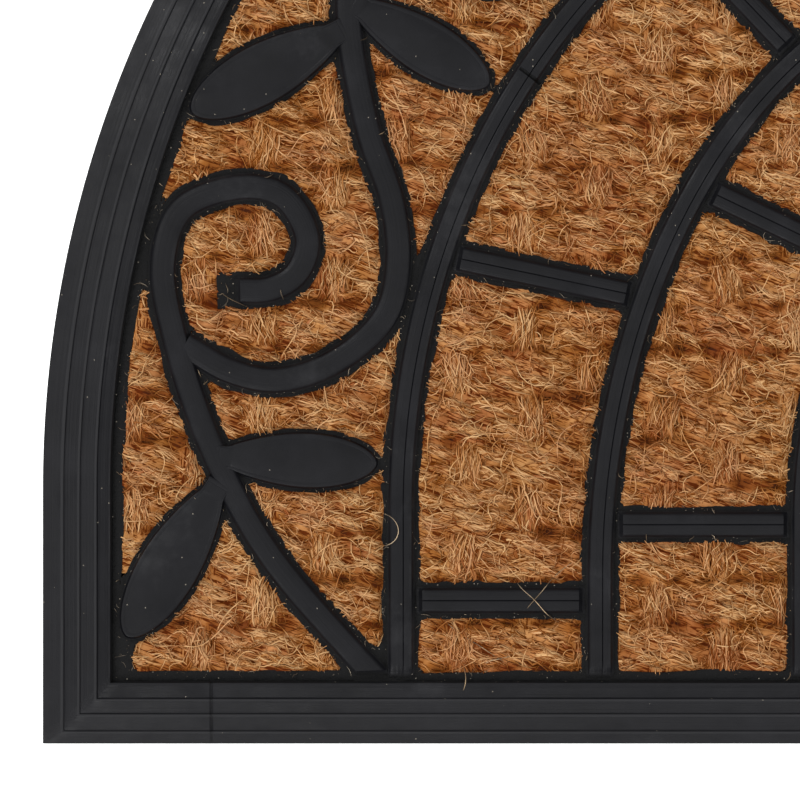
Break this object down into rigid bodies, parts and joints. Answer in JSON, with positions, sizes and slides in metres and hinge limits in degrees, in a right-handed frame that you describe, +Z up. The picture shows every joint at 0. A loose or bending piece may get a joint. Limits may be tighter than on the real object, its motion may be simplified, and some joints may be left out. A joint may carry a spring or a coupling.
{
  "type": "rubber doormat",
  "caption": "Half-round doormat: black rubber moulded over woven coir, with a stepped ribbed border, brick arches and a scroll-and-leaf vine in raised bars.",
  "frame": {"origin": "on the floor under the middle of the mat's bounding box", "axes": "+X along the straight front edge, +Y towards the crown of the half-round, +Z up"},
  "size_m": [0.6, 0.4, 0.0088],
  "materials": {
    "rubber": "matte moulded black",
    "coir": "coarse woven golden-brown coir yarn"
  },
  "bodies": {
    "root": {"rubber_moulding": "rubber", "coir_mat": "coir"}
  },
  "joints": []
}
